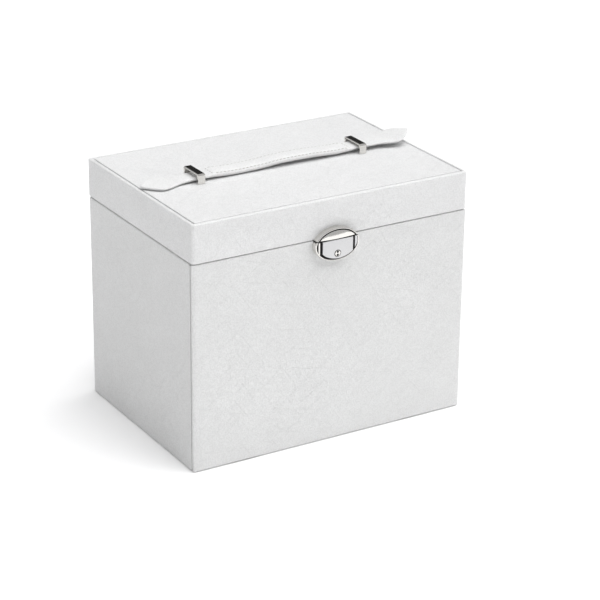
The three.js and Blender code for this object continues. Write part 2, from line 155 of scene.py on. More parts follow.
class Graph(Nodes):
    """A material, which ends in a Principled shader."""

    def __init__(self, name, **values):
        self.material = bpy.data.materials.new(name)
        self.material.use_nodes = True
        super().__init__(self.material.node_tree)
        self.shader = self.add("ShaderNodeBsdfPrincipled", **values)
        self.add("ShaderNodeOutputMaterial", Surface=self.shader.outputs[0])

    def look(self, colour, roughness=None):
        self.put(self.shader.inputs["Base Color"], colour)
        if roughness:
            self.put(self.shader.inputs["Roughness"], roughness)

    def surface_uv(self):
        """The piece's own flat coordinates, in metres."""
        return self.add("ShaderNodeUVMap", {"uv_map": "metres"}).outputs[0]

    def place(self):
        """The piece's own solid coordinates, in metres."""
        return self.add("ShaderNodeTexCoord").outputs["Object"]

    def turned(self, vector, angle, size):
        """vector turned about z, and measured in cells of this size along its new x and y."""
        turn = self.add("ShaderNodeVectorRotate", {"rotation_type": "Z_AXIS"}, Vector=vector, Angle=angle)
        return self.vector_math("DIVIDE", turn.outputs[0], size).outputs[0]

    def noise(self, vector, scale=1.0, detail=2.0, rough=0.5, flat=False):
        settings = {"noise_dimensions": "2D" if flat else "3D"}
        values = {"Vector": vector, "Scale": scale, "Detail": detail, "Roughness": rough}
        return self.add("ShaderNodeTexNoise", settings, **values).outputs[0]

    def bump(self, height, distance):
        node = self.add("ShaderNodeBump", Height=height, Distance=distance, Strength=1.0)
        self.put(self.shader.inputs["Normal"], node.outputs[0])


def strokes(graph, vector, width, share):
    """Straight strokes along x, at most one to a unit cell: 1 on a stroke, else 0."""
    axes = graph.add("ShaderNodeSeparateXYZ", Vector=vector)
    x, y = axes.outputs[0], axes.outputs[1]
    row = graph.math("FLOOR", y)
    shift = graph.add("ShaderNodeTexWhiteNoise", {"noise_dimensions": "1D"}, W=row).outputs["Value"]
    along = graph.math("ADD", x, graph.math("MULTIPLY", shift, 7.0))
    cell = graph.add("ShaderNodeCombineXYZ", X=graph.math("FLOOR", along), Y=row).outputs[0]
    pick = graph.add("ShaderNodeTexWhiteNoise", {"noise_dimensions": "2D"}, Vector=cell)
    chance = graph.add("ShaderNodeSeparateColor", Color=pick.outputs["Color"])
    middle = graph.span(chance.outputs[0], 0.0, 1.0, 0.28, 0.72)
    off_line = graph.math("ABSOLUTE", graph.math("SUBTRACT", graph.math("FRACT", y), middle))
    line = graph.span(off_line, width * 0.35, width, 1.0, 0.0)
    from_middle = graph.math("ABSOLUTE", graph.math("SUBTRACT", graph.math("FRACT", along), 0.5))
    half_length = graph.span(chance.outputs[1], 0.0, 1.0, 0.22, 0.48)
    past_end = graph.math("SUBTRACT", from_middle, half_length)
    line = graph.math("MULTIPLY", line, graph.span(past_end, -0.10, 0.0, 1.0, 0.0))
    return graph.math("MULTIPLY", line, graph.math("LESS_THAN", pick.outputs["Value"], share))


def hatch(graph, uv, cell, pitch, length):
    """Patches of fine parallel strokes, each with a direction of its own and a random value that the
    leather paints as shade for that direction.
    """
    width, share = 0.24, 0.85
    patch = graph.add("ShaderNodeTexVoronoi", {"voronoi_dimensions": "2D"}, Vector=uv, Scale=1 / cell)
    chance = graph.add("ShaderNodeSeparateColor", Color=patch.outputs["Color"])
    angle = graph.math("MULTIPLY", chance.outputs[0], math.pi)
    lines = strokes(graph, graph.turned(uv, angle, (length, pitch, 1.0)), width, share)
    return lines, chance.outputs[1]


def creases(graph, uv, angle, gap, length, share):
    """Long thin creases, nearly parallel: 1 on a crease, else 0."""
    width, wander = 0.00022, 0.0035
    bend = graph.noise(uv, 26.0, 1.0, flat=True)
    bent = graph.vector_math("MULTIPLY_ADD", bend, (wander, wander, 0.0), uv)
    return strokes(graph, graph.turned(bent.outputs[0], angle, (length, gap, 1.0)), width / gap, share)


CREASE_FAMILIES = [             # angle, gap and length in metres, share of the places that hold one
    (0.95, 0.0105, 0.046, 0.6),
    (-0.62, 0.0120, 0.052, 0.6),
    (2.62, 0.0145, 0.038, 0.5),
    (0.22, 0.0170, 0.060, 0.45),
]


def leather_material(name, tone, relief):
    """White embossed imitation leather: patches of crossing strokes, and a few long creases, with painted
    shade per patch, between the strokes and along the creases.
    """
    shine = {"Specular_IOR_Level": 0.42, "Sheen_Weight": 0.04, "Sheen_Roughness": 0.5}
    graph = Graph(name, **shine)
    uv = graph.surface_uv()
    coarse, coarse_patch_shade = hatch(graph, uv, 0.0030, 0.00062, 0.0030)
    fine, fine_patch_shade = hatch(graph, uv, 0.0015, 0.00042, 0.0016)
    lines = graph.math("MAXIMUM", coarse, graph.math("MULTIPLY", fine, 0.7))
    long_lines = None
    for angle, gap, length, share in CREASE_FAMILIES:
        family = creases(graph, uv, angle, gap, length, share)
        long_lines = graph.math("MAXIMUM", long_lines, family) if long_lines else family
    pores = graph.noise(uv, 5200.0, 2.0, 0.6, flat=True)
    height = graph.total((lines, 1), (pores, 0.35), (long_lines, -0.9))
    graph.bump(height, relief)
    cloud = graph.span(graph.noise(graph.place(), 22.0, 3.0, 0.55), 0.35, 0.65, 0.0, 1.0)
    low, high = tuple(v * 0.986 for v in tone), tuple(v * 1.004 for v in tone)
    speckle = graph.span(graph.noise(uv, 900.0, 1.0, flat=True), 0.3, 0.7, 0.0, 0.75)
    # painted shade: each patch's random value darkens it as if its strokes' direction caught less light;
    # speckle adds a fine random tone
    patches = graph.total((coarse_patch_shade, 0.25), (fine_patch_shade, 0.5), (speckle, 1))
    patch_shade_and_speckle = graph.span(patches, 0.2, 1.3, 0.135, 0.0)
    # painted shade: the colour is darker between the strokes and along the creases, where the emboss would
    # be in shade
    shade = graph.math("MAXIMUM", graph.total((patch_shade_and_speckle, 1), (lines, -0.02), (long_lines, 0.05)), 0.0)
    graph.look(graph.mix(shade, graph.mix(cloud, low, high), (0.22, 0.215, 0.21)),
               graph.span(height, 0.0, 1.6, 0.56, 0.42))
    return graph.material


def velvet_material(name, light, dark):
    """Short pile: brushed patches, fine fibre, and a soft sheen."""
    sheen = {"Sheen_Weight": 0.55, "Sheen_Roughness": 0.38, "Sheen_Tint": (1.0, 0.97, 0.93, 1)}
    graph = Graph(name, Roughness=0.92, Specular_IOR_Level=0.15, **sheen)
    place = graph.place()
    brushed = graph.span(graph.noise(place, 34.0, 2.0, 0.5), 0.3, 0.7, 0.0, 0.6)
    fibre = graph.noise(place, 2600.0, 2.0, 0.7)
    graph.look(graph.mix(graph.total((brushed, 1), (fibre, 0.4)), dark, light))
    graph.bump(graph.total((fibre, 1), (graph.noise(place, 700.0, 1.0), 0.5)), 0.00035)
    return graph.material


def metal_material(name, tone, rough_low, rough_high, streak, relief):
    """Plated metal: wandering hairlines of this streak size in metres, and faint clouding."""
    graph = Graph(name, Metallic=1.0)
    place = graph.place()
    hairs = graph.noise(graph.turned(place, 0.0, streak), 1.0, 2.0, 0.6)
    wear = graph.total((hairs, 0.7), (graph.noise(place, 160.0, 2.0), 0.3))
    low = tuple(v * 0.9 for v in tone)
    graph.look(graph.mix(wear, low, tone), graph.span(wear, 0.3, 0.7, rough_low, rough_high))
    graph.bump(hairs, relief)
    return graph.material


def mirror_material():
    """Silvered glass with the faintest smears."""
    graph = Graph("mirror", Metallic=1.0)
    smear = graph.noise(graph.turned(graph.place(), 0.5, (0.03, 0.012, 0.02)), 1.0, 3.0)
    graph.look(graph.mix(smear, (0.84, 0.87, 0.87), (0.90, 0.92, 0.92)),
               graph.span(smear, 0.35, 0.75, 0.012, 0.05))
    return graph.material


def painted_shade_material():
    """Near-black painted shade for the insides of the latch, which get little light."""
    graph = Graph("recess", Metallic=0.4)
    grain = graph.noise(graph.place(), 1500.0, 2.0)
    graph.look(graph.mix(grain, (0.006, 0.006, 0.006), (0.02, 0.02, 0.02)),
               graph.span(grain, 0.3, 0.7, 0.55, 0.75))
    return graph.material


def thread_material():
    """Waxed two-ply sewing thread."""
    graph = Graph("thread", Roughness=0.6, Sheen_Weight=0.1)
    place = graph.place()
    settings = {"bands_direction": "DIAGONAL"}
    ply = graph.add("ShaderNodeTexWave", settings, Vector=place, Scale=900.0, Distortion=1.0)
    tone = graph.total((ply.outputs["Fac"], 0.6), (graph.noise(place, 6000.0, 2.0), 0.4))
    graph.look(graph.mix(tone, (0.33, 0.32, 0.30), (0.60, 0.59, 0.56)))
    graph.bump(tone, 0.00008)
    return graph.material


def felt_material():
    """Pressed grey felt under the base."""
    graph = Graph("felt", Roughness=0.95, Sheen_Weight=0.2)
    fibre = graph.noise(graph.place(), 1800.0, 3.0, 0.7)
    graph.look(graph.mix(fibre, (0.22, 0.215, 0.205), (0.42, 0.41, 0.39)))
    graph.bump(fibre, 0.0003)
    return graph.material


def floor_material():
    """A plain pale sweep."""
    graph = Graph("floor", Roughness=0.9, Specular_IOR_Level=0.0)
    grain = graph.noise(graph.place(), 30.0, 2.0)
    graph.look(graph.mix(grain, (0.925, 0.925, 0.925), (0.935, 0.935, 0.935)))
    return graph.material


# the lid's leather is the body's leather painted about 5% lighter: painted light for the lid's brighter
# look
LID_LEATHER_PAINTED_LIGHT = leather_material("lid_leather", (0.768, 0.770, 0.770), 0.00013)
LEATHER = leather_material("leather", (0.733, 0.736, 0.733), 0.00013)
STRAP_LEATHER = leather_material("strap_leather", (0.763, 0.765, 0.762), 0.00010)
VELVET = velvet_material("velvet", (0.60, 0.555, 0.50), (0.44, 0.40, 0.355))
ROLL_VELVET = velvet_material("roll_velvet", (0.66, 0.62, 0.565), (0.50, 0.46, 0.41))
NICKEL = metal_material("nickel", (0.80, 0.785, 0.755), 0.05, 0.13, (0.004, 0.0004, 0.0004), 0.000004)
BRUSHED = metal_material(
    "brushed_nickel", (0.60, 0.60, 0.605), 0.24, 0.40, (0.012, 0.0002, 0.00016), 0.00002
)
STEEL = metal_material("hinge_steel", (0.62, 0.61, 0.59), 0.16, 0.30, (0.006, 0.0005, 0.0005), 0.00001)
MIRROR = mirror_material()
RECESS_SHADE = painted_shade_material()
THREAD = thread_material()
FELT = felt_material()


# ---------------- outlines and profiles

def outline(corners, inset, arc=6):
    """An anticlockwise outline of (u, v, radius) corners, moved inwards. A radius of 0 gives one point."""
    points = []
    for index, (u, v, radius) in enumerate(corners):
        before = Vector(corners[index - 1][:2])
        here = Vector((u, v))
        after = Vector(corners[(index + 1) % len(corners)][:2])
        way_in = (here - before).normalized()
        way_out = (after - here).normalized()
        out_a = Vector((way_in.y, -way_in.x))
        out_b = Vector((way_out.y, -way_out.x))
        mitre = (out_a + out_b).normalized()
        mitre /= max(mitre.dot(out_a), 0.2)
        if radius == 0:
            points.append(here - mitre * inset)
            continue
        convex = way_in.x * way_out.y - way_in.y * way_out.x > 0
        fillet = max(radius, inset) if convex else radius
        centre = here - mitre * (fillet if convex else -fillet)
        reach = fillet - inset if convex else -(fillet + inset)
        start = math.atan2(out_a.y, out_a.x)
        sweep = (math.atan2(out_b.y, out_b.x) - start + math.pi) % (2 * math.pi) - math.pi
        for k in range(arc + 1):
            angle = start + sweep * k / arc
            points.append(centre + Vector((math.cos(angle), math.sin(angle))) * reach)
    return points


def rectangle(u0, u1, v0, v1, radius):
    return [(u0, v0, radius), (u1, v0, radius), (u1, v1, radius), (u0, v1, radius)]


def turns(count):
    """This many angles, once round."""
    return [2 * math.pi * k / count for k in range(count)]


def oval(a, b, count=96):
    """Points round an ellipse about the latch's middle, in x and z."""
    return [Vector((a * math.cos(t), LOCK_Z + b * math.sin(t))) for t in turns(count)]


def slab(h0, h1, low, high, steps=4, ease=0.4):
    """A slab's (inset, height) profile. low and high are the (inset, height) radii of its round edges."""
    path = [(low[0] + ease, h0)]
    for k in range(steps + 1):
        angle = math.pi / 2 * k / steps
        path.append((low[0] * (1 - math.sin(angle)), h0 + low[1] * (1 - math.cos(angle))))
    for k in range(steps + 1):
        angle = math.pi / 2 * k / steps
        path.append((high[0] * (1 - math.cos(angle)), h1 - high[1] * (1 - math.sin(angle))))
    path.append((high[0] + ease, h1))
    return path


def along_z(u, v, h):
    return Vector((u, v, h))


def along_front(u, v, h):
    """Outline in x and z as seen from the front; heights are measured towards the viewer."""
    return Vector((u, -h, v))


def along_back(u, v, h):
    """Outline in x and z as seen from behind; heights are y."""
    return Vector((-u, h, v))


# ---------------- pieces

def in_scene(name, data):
    """A new object in the scene, with this mesh, camera or light."""
    made = bpy.data.objects.new(name, data)
    bpy.context.scene.collection.objects.link(made)
    return made


def new_object(name, mesh, materials=()):
    """An object in the scene made from a bmesh, which is used up."""
    data = bpy.data.meshes.new(name)
    mesh.to_mesh(data)
    mesh.free()
    for material in materials:
        data.materials.append(material)
    return in_scene(name, data)


class Piece:
    """A mesh under construction, in millimetres."""

    def __init__(self):
        self.mesh = bmesh.new()

    def loft(self, rings, closed=False, paint=0):
        """Joins rings of equally many points. Open lofts get a cap at each end; closed ones join up."""
        made = [[self.mesh.verts.new(p) for p in ring] for ring in rings]
        pairs = list(zip(made, made[1:]))
        if closed:
            pairs.append((made[-1], made[0]))
        faces = []
        for low, high in pairs:
            for j in range(len(low)):
                k = (j + 1) % len(low)
                faces.append(self.mesh.faces.new((low[j], low[k], high[k], high[j])))
        if not closed:
            faces.append(self.mesh.faces.new(made[0][::-1]))
            faces.append(self.mesh.faces.new(made[-1]))
        for face in faces:
            face.material_index = paint

    def prism(self, corners, profile, place=along_z, closed=False, paint=0, arc=6):
        """An outline carried along a profile of (inset, height) points."""
        rings = [[place(*p, h) for p in outline(corners, inset, arc)] for inset, h in profile]
        self.loft(rings, closed, paint)

    def lathe(self, profile, place, count=48, paint=0):
        """A turned solid: (radius, height) points from one end's middle to the other's."""
        rings = [
            [place(max(r, 0.01) * math.cos(t), max(r, 0.01) * math.sin(t), h) for t in turns(count)]
            for r, h in profile
        ]
        self.loft(rings, paint=paint)

    def capsule(self, start, end, up, radius, paint=0, squash=0.75):
        """One stitch: a short rounded rod from start to end, flattened along up."""
        axis = (end - start).normalized()
        side = axis.cross(up).normalized()
        middle = (start + end) / 2
        half = (end - start).length / 2
        rings = []
        for k in range(1, 6):
            angle = math.pi * k / 6
            reach = radius * math.sin(angle) ** 0.6
            centre = middle - axis * half * math.cos(angle)
            rings.append([
                centre + side * reach * math.cos(t) + up * reach * squash * math.sin(t) for t in turns(8)
            ])
        self.loft(rings, paint=paint)

    def keep(self, point, normal):
        """Cuts the whole mesh with a plane, drops what lies beyond its normal, and closes the cut."""
        found = bmesh.ops.bisect_plane(
            self.mesh, geom=[*self.mesh.verts, *self.mesh.edges, *self.mesh.faces], dist=1e-5,
            plane_co=point, plane_no=normal, clear_outer=True,
        )
        edges = [e for e in found["geom_cut"] if isinstance(e, bmesh.types.BMEdge)]
        bmesh.ops.edgenet_fill(self.mesh, edges=edges)

    def paint(self, index, test):
        """Gives faces another material where test(middle, normal) is true."""
        self.mesh.normal_update()
        for face in self.mesh.faces:
            if test(face.calc_center_median(), face.normal):
                face.material_index = index

    def done(self, name, body, materials, replaces=(), cuts=(), rods=(), sharp=38, tests=()):
        """Turns the mesh into a piece of the model, in metres, that rides on body (or on none)."""
        bmesh.ops.remove_doubles(self.mesh, verts=self.mesh.verts, dist=0.002)
        bmesh.ops.dissolve_degenerate(self.mesh, edges=self.mesh.edges, dist=0.001)
        bmesh.ops.recalc_face_normals(self.mesh, faces=self.mesh.faces)
        for index, test in tests:
            self.paint(index, test)
        bmesh.ops.scale(self.mesh, vec=(MM, MM, MM), verts=self.mesh.verts)
        piece = new_object(name, self.mesh, materials)
        if cuts or rods:
            carve(piece, cuts, rods)
        shade(piece.data, sharp)
        flat_coordinates(piece)
        normals = piece.modifiers.new("normals", "WEIGHTED_NORMAL")
        normals.keep_sharp = True
        if body:
            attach(piece, body)
        if replaces:
            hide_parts(*replaces)
        return piece


def repaint(piece, index, test):
    """Gives a finished piece's faces another material where test(middle in millimetres) is true."""
    for face in piece.data.polygons:
        if test(face.center / MM):
            face.material_index = index


def carve(piece, boxes=(), rods=()):
    """Cuts boxes (low and high corners) and rods (radius, axis ends), in millimetres, out of a piece."""
    tools = Piece()
    for low, high in boxes:
        low, high = Vector(low), Vector(high)
        place = Matrix.Translation((low + high) / 2) @ Matrix.Diagonal((*(high - low), 1))
        bmesh.ops.create_cube(tools.mesh, size=1, matrix=place)
    for radius, start, stop in rods:
        start, stop = Vector(start), Vector(stop)
        axis = (stop - start).normalized()
        side = axis.orthogonal().normalized()
        up = axis.cross(side)
        ring = [side * radius * math.cos(t) + up * radius * math.sin(t) for t in turns(40)]
        tools.loft([[start + p for p in ring], [stop + p for p in ring]])
    bmesh.ops.recalc_face_normals(tools.mesh, faces=tools.mesh.faces)
    bmesh.ops.scale(tools.mesh, vec=(MM, MM, MM), verts=tools.mesh.verts)
    tool = new_object("cutter", tools.mesh)
    cut = piece.modifiers.new("cut", "BOOLEAN")
    cut.operation = "DIFFERENCE"
    cut.solver = "EXACT"
    cut.use_self = True
    cut.object = tool
    graph = bpy.context.evaluated_depsgraph_get()
    result = bpy.data.meshes.new_from_object(piece.evaluated_get(graph))
    piece.modifiers.clear()
    piece.data = result
    bpy.data.objects.remove(tool)


def shade(data, sharp):
    """Smooth faces, with edges sharper than this angle in degrees kept crisp."""
    mesh = bmesh.new()
    mesh.from_mesh(data)
    for face in mesh.faces:
        face.smooth = True
    for edge in mesh.edges:
        edge.smooth = len(edge.link_faces) == 2 and edge.calc_face_angle(0) < math.radians(sharp)
    mesh.to_mesh(data)
    mesh.free()


def flat_coordinates(piece):
    """A UV map in metres, seen along the axis that a face faces most. Each piece starts elsewhere."""
    seed = sum(ord(letter) * (index + 1) for index, letter in enumerate(piece.name))
    shift = Vector((seed % 97, seed % 89)) * 0.013
    data = piece.data
    layer = data.uv_layers.new(name="metres")
    axes = {0: (1, 2), 1: (0, 2), 2: (0, 1)}
    for face in data.polygons:
        normal = [abs(v) for v in face.normal]
        u, v = axes[normal.index(max(normal))]
        for loop in face.loop_indices:
            co = data.vertices[data.loops[loop].vertex_index].co
            layer.data[loop].uv = (co[u] + shift.x, co[v] + shift.y)


# ---------------- camera, floor and light

def make_camera():
    """The photograph's viewpoint: long lens, a little above the lid, from the front left."""
    azimuth, elevation, roll = map(math.radians, (-31.196, 22.679, 0.629))
    reach = math.cos(elevation)
    back = Vector((math.sin(azimuth) * reach, -math.cos(azimuth) * reach, math.sin(elevation)))
    level = (-back).cross(Vector((0, 0, 1))).normalized()
    upright = level.cross(-back)
    right = level * math.cos(roll) + upright * math.sin(roll)
    up = upright * math.cos(roll) - level * math.sin(roll)
    data = bpy.data.cameras.new("camera")
    data.sensor_width = 36
    data.lens = 135.01
    camera = in_scene("camera", data)
    turn = Matrix((right, up, back)).transposed().to_4x4()
    camera.matrix_world = Matrix.Translation((-0.8391, -1.4234, 0.7764)) @ turn
    bpy.context.scene.camera = camera


def make_floor():
    mesh = bmesh.new()
    bmesh.ops.create_grid(mesh, x_segments=4, y_segments=4, size=6)
    floor = new_object("floor", mesh, [floor_material()])


def make_light():
    """A big soft light overhead, a little to the front right, in an even pale room."""
    data = bpy.data.lights.new("overhead", "SUN")
    data.energy = 3.2
    data.angle = math.radians(70)
    lamp = in_scene("overhead", data)
    lamp.visible_glossy = False
    lamp.rotation_mode = "QUATERNION"
    lamp.rotation_quaternion = Vector((0.30, -0.25, 1.05)).to_track_quat("Z", "Y")

    world = bpy.data.worlds.new("room")
    world.use_nodes = True
    bpy.context.scene.world = world
    nodes = Nodes(world.node_tree)
    # a dark curtain low down behind the chest, as seen in reflections
    way = nodes.add("ShaderNodeTexCoord").outputs["Generated"]
    height = nodes.add("ShaderNodeSeparateXYZ", Vector=way).outputs[2]
    behind = nodes.vector_math("DOT_PRODUCT", way, (0.52, 0.85, 0.0)).outputs["Value"]
    side = nodes.span(behind, 0.45, 0.75, 0.0, 1.0)
    foot = nodes.span(height, 0.62, 0.5, 0.0, 1.0)
    room = nodes.mix(nodes.math("MULTIPLY", side, foot), (0.53, 0.53, 0.535), (0.03, 0.03, 0.03))
    direct = nodes.add("ShaderNodeLightPath").outputs["Is Camera Ray"]
    glow = nodes.add("ShaderNodeBackground", Color=nodes.mix(direct, room, (1.0, 1.0, 1.0)))
    nodes.add("ShaderNodeOutputWorld", Surface=glow.outputs[0])
    bpy.context.scene.view_settings.view_transform = "Standard"


# ---------------- the body's outside

def body_wrap():
    """Left, back and right walls as one leather-covered U, lined with velvet."""
    soft = 4.0
    edge = 1.6
    inner = 1.0
    corners = [
        (-HALF_X, BODY_FRONT, 0.7), (-INNER_X, BODY_FRONT, 0.7), (-INNER_X, INNER_BACK, inner),
        (INNER_X, INNER_BACK, inner), (INNER_X, BODY_FRONT, 0.7), (HALF_X, BODY_FRONT, 0.7),
        (HALF_X, BACK, soft), (-HALF_X, BACK, soft),
    ]
    piece = Piece()
    piece.prism(corners, slab(0, SEAM, (edge, edge), (edge, edge)))

    def inside(middle, normal):
        near = abs(middle.x) < INNER_X + 0.8 and middle.y < INNER_BACK + 0.8
        return near and middle.y > BODY_FRONT + 2 and BASE_TOP < middle.z < SEAM - 1.7

    piece.done(
        "body_wrap", "chest", [LEATHER, VELVET],
        ["side_panel_left", "side_panel_right", "back_panel"], tests=[(1, inside)],
    )


def base_board():
    """The floor board, with felt under it and velvet on it."""
    piece = Piece()
    corners = rectangle(-INNER_X + 0.1, INNER_X - 0.1, BODY_FRONT, INNER_BACK - 0.1, 0.8)
    piece.prism(corners, slab(0, BASE_TOP, (0.9, 0.9), (0.9, 0.9)))
    half = DOOR_HINGE_HALF
    mortises = [((x - half, -84, -1), (x + half, -80.3, 11)) for x in DOOR_HINGES]
    tests = [
        (1, lambda middle, normal: middle.z > BASE_TOP - 0.5 and middle.y > -80),
        (2, lambda middle, normal: middle.z < 0.4),
    ]
    piece.done(
        "base_board", "chest", [LEATHER, VELVET, FELT], ["base_panel"], mortises, tests=tests
    )


def front_panel():
    """The folding front: one padded leather face with soft edges, over a thin board."""
    bottom, side = 0.3, 2.4
    corners = [
        (-HALF_X, bottom, side), (HALF_X, bottom, side), (HALF_X, SEAM, 1.8), (NOTCH_X, SEAM, 0),
        (NOTCH_X, NOTCH_Z, 0), (-NOTCH_X, NOTCH_Z, 0), (-NOTCH_X, SEAM, 0), (-HALF_X, SEAM, 1.8),
    ]
    soft_in, soft_out = 4.9, 2.5
    piece = Piece()
    piece.prism(corners, slab(-PANEL_BACK, -FRONT, (0.6, 0.6), (soft_in, soft_out), 7), along_front, arc=8)
    # the bottom edge is rounder, about the hinge axis, and so is the top edge
    radius = DOOR_Z - bottom
    for vert in piece.mesh.verts:
        share_y = (FRONT + soft_out - vert.co.y) / soft_out
        low_share = (bottom + soft_in - vert.co.z) / soft_in
        high_share = (vert.co.z - SEAM + soft_in) / soft_in
        if share_y > -1e-6 and max(low_share, high_share) > -1e-6:
            vert.co.y = DOOR_Y - (DOOR_Y - FRONT) * share_y
            if low_share > high_share:
                vert.co.z = DOOR_Z - radius * low_share
            else:
                vert.co.z = SEAM - radius * (1 - high_share)
    cuts = []
    rods = []
    for x in DOOR_HINGES:
        x0, x1 = x - DOOR_HINGE_HALF, x + DOOR_HINGE_HALF
        cuts.append(((x0, DOOR_Y, -1), (x1, -82, 4.1)))
        cuts.append(((x0, -84.1, -1), (x1, -82, 15.3)))
        cuts.append(((x0, -87, -1), (x1, DOOR_Y + 0.1, 0.87)))
        rods.append((1.48, (x0, DOOR_Y, DOOR_Z), (x1, DOOR_Y, DOOR_Z)))
    piece.done("front_panel_cover", "front_panel", [LEATHER], ["front_panel"], cuts, rods)


def panel_lining():
    """Velvet inside the front panel: a thin pad with soft edges, notched for the hasp's tongue."""
    half = 112
    z0, z1 = 16, 166
    corners = [
        (-half, z0, 2), (half, z0, 2), (half, z1, 2), (NOTCH_X, z1, 0), (NOTCH_X, NOTCH_Z, 0),
        (-NOTCH_X, NOTCH_Z, 0), (-NOTCH_X, z1, 0), (-half, z1, 2),
    ]
    piece = Piece()
    mirrored = [(-u, v, r) for u, v, r in corners]
    piece.prism(mirrored, slab(PANEL_BACK + 0.1, -81.5, (0.2, 0.2), (0.9, 0.7)), along_back)
    piece.done("front_panel_velvet", "front_panel", [VELVET], ["front_panel_lining"])


def screw(piece, x, z, y, facing, radius=1.5, paint=0):
    """A countersunk cross-head screw. facing is -1 towards the front and 1 towards the back."""
    place = lambda u, v, h: Vector((x - facing * u, y + facing * h, z + v))
    rise = 0.28
    piece.lathe([(0, -0.9), (radius * 0.5, -0.9), (radius, 0), (radius * 0.94, rise * 0.6),
                 (radius * 0.7, rise * 0.9), (0, rise)], place, 24, paint)


def screw_slots(x, z, y, facing, radius=1.5):
    """The boxes that cut a cross into such a screw."""
    arm = radius * 0.62
    half = radius * 0.13
    depth = sorted((y - facing * 0.35, y + facing * 0.6))
    return [
        ((x - arm, depth[0], z - half), (x + arm, depth[1], z + half)),
        ((x - half, depth[0], z - arm), (x + half, depth[1], z + arm)),
    ]


def screws(name, body, places, facing, radius=1.5):
    piece = Piece()
    cuts = []
    for x, z, y in places:
        screw(piece, x, z, y, facing, radius)
        cuts += screw_slots(x, z, y, facing, radius)
    piece.done(name, body, [STEEL], cuts=cuts)


def latch_back_plate():
    """The plate on the inside of the front panel that the latch is screwed to."""
    piece = Piece()
    profile = slab(-81.6, -80.6, (0.1, 0.1), (0.35, 0.35))
    piece.prism(rectangle(-15, 15, 145.5, 156.5, 3), profile, along_back)
    piece.done("latch_back_plate", "front_panel", [BRUSHED])
    screws("latch_back_screws", "front_panel", [(-10, 151, -80.6), (10, 151, -80.6)], 1, 1.6)


# ---------------- drawers, shelves and ring tray

def soft_board(piece, x0, x1, y0, y1, z0, z1, radius=0.8, top=None):
    """An upholstered board with rounded edges."""
    reach = top or radius
    piece.prism(rectangle(x0, x1, y0, y1, radius), slab(z0, z1, (0.3, 0.3), (reach, reach)), arc=4)


def drawer(level):
    z0, height, along_y, along_x_walls = DRAWERS[level]
    body = f"drawer_{level}"
    half, front, back = 112.6, -59.7, 77.5
    wall, floor = 4, 3
    rim = z0 + height - 3
    tub = Piece()
    turn = 0.9
    bed = z0 + floor
    profile = [
        (1.6, z0), (0.5, z0), (0, z0 + 0.5), (0, rim - turn), (0.3, rim - 0.3), (turn, rim),
        (wall - turn, rim), (wall - 0.3, rim - 0.3), (wall, rim - turn), (wall, bed + 1.2),
        (wall + 0.35, bed + 0.35), (wall + 1.2, bed), (wall + 2, bed),
    ]
    tub.prism(rectangle(-half, half, front, back, 5), profile)
    tub.done(f"drawer_tub_{level}_velvet", body, [VELVET], [f"drawer_tub_{level}"])

    face = Piece()
    corners = rectangle(-113, 113, z0, z0 + height, 1.2)
    face.prism(corners, slab(-FACE_BACK, -FACE_Y, (0.6, 0.6), (2.4, 1.4), 5), along_front)
    face.done(f"drawer_front_{level}_cover", body, [LEATHER], [f"drawer_front_{level}"])

    knob = Piece()
    middle = z0 + height / 2
    profile = [
        (0, 0), (3.6, 0), (3.7, 0.25), (3.5, 0.55), (2.2, 0.75), (1.6, 1.3), (1.45, 2.4), (1.6, 3.6),
        (2.4, 4.7), (3.5, 5.35), (4.15, 6.0), (4.35, 6.7), (4.2, 7.3), (3.7, 7.9), (2.9, 8.3), (1.6, 8.6),
        (0, 8.7),
    ]
    knob.lathe(profile, lambda u, v, h: Vector((u, FACE_Y - 0.1 - h, middle + v)), 48)
    knob.done(f"drawer_knob_{level}_turned", body, [NICKEL], [f"drawer_knob_{level}"], sharp=50)

    walls = Piece()
    low, high = bed + 0.1, rim - 2
    inner = (half - wall - 0.2, front + wall + 0.2, back - wall - 0.2)
    for y in along_x_walls:
        soft_board(walls, -inner[0], inner[0], y - 1.5, y + 1.5, low, high, 0.8, 1.2)
    for x in along_y:
        for y0, y1 in ((inner[1], along_x_walls[0] - 1.5), (along_x_walls[0] + 1.5, inner[2])):
            soft_board(walls, x - 1.5, x + 1.5, y0, y1, low, high, 0.8, 1.2)
    walls.done(f"drawer_walls_{level}", body, [VELVET], [f"drawer_divider_{level}"])


def shelf(name, z0, z1):
    """A board between drawers: velvet, with a leather-wrapped front edge."""
    piece = Piece()
    soft_board(piece, -INNER_X + 0.1, INNER_X - 0.1, FACE_Y, INNER_BACK - 0.1, z0, z1, 0.6)
    tests = [(1, lambda middle, normal: middle.y < FACE_Y + 1.2)]
    piece.done(f"{name}_cover", "chest", [VELVET, LEATHER], [name], tests=tests)


def ring_tray():
    floor = TRAY_Z
    wall = Piece()
    soft_board(wall, -113.7, 113.7, FACE_Y, FACE_BACK, floor - 0.1, 166, 0.8, 1.8)
    tests = [(1, lambda middle, normal: normal.y > 0.5)]
    wall.done("tray_front_cover", "chest", [LEATHER, VELVET], ["tray_front_wall"], tests=tests)

    spans = {
        "tray_divider_long": (-20, -17, -59.9, 78.8),
        "tray_divider_left": (-113.8, -20.1, 36, 39),
        "tray_divider_right": (-16.9, 113.8, 14, 17),
    }
    for name, (x0, x1, y0, y1) in spans.items():
        piece = Piece()
        soft_board(piece, x0, x1, y0, y1, floor - 0.1, 162, 0.6, 1.3)
        piece.done(f"{name}_velvet", "chest", [VELVET], [name])

    for index in range(5):
        ring_roll(index)


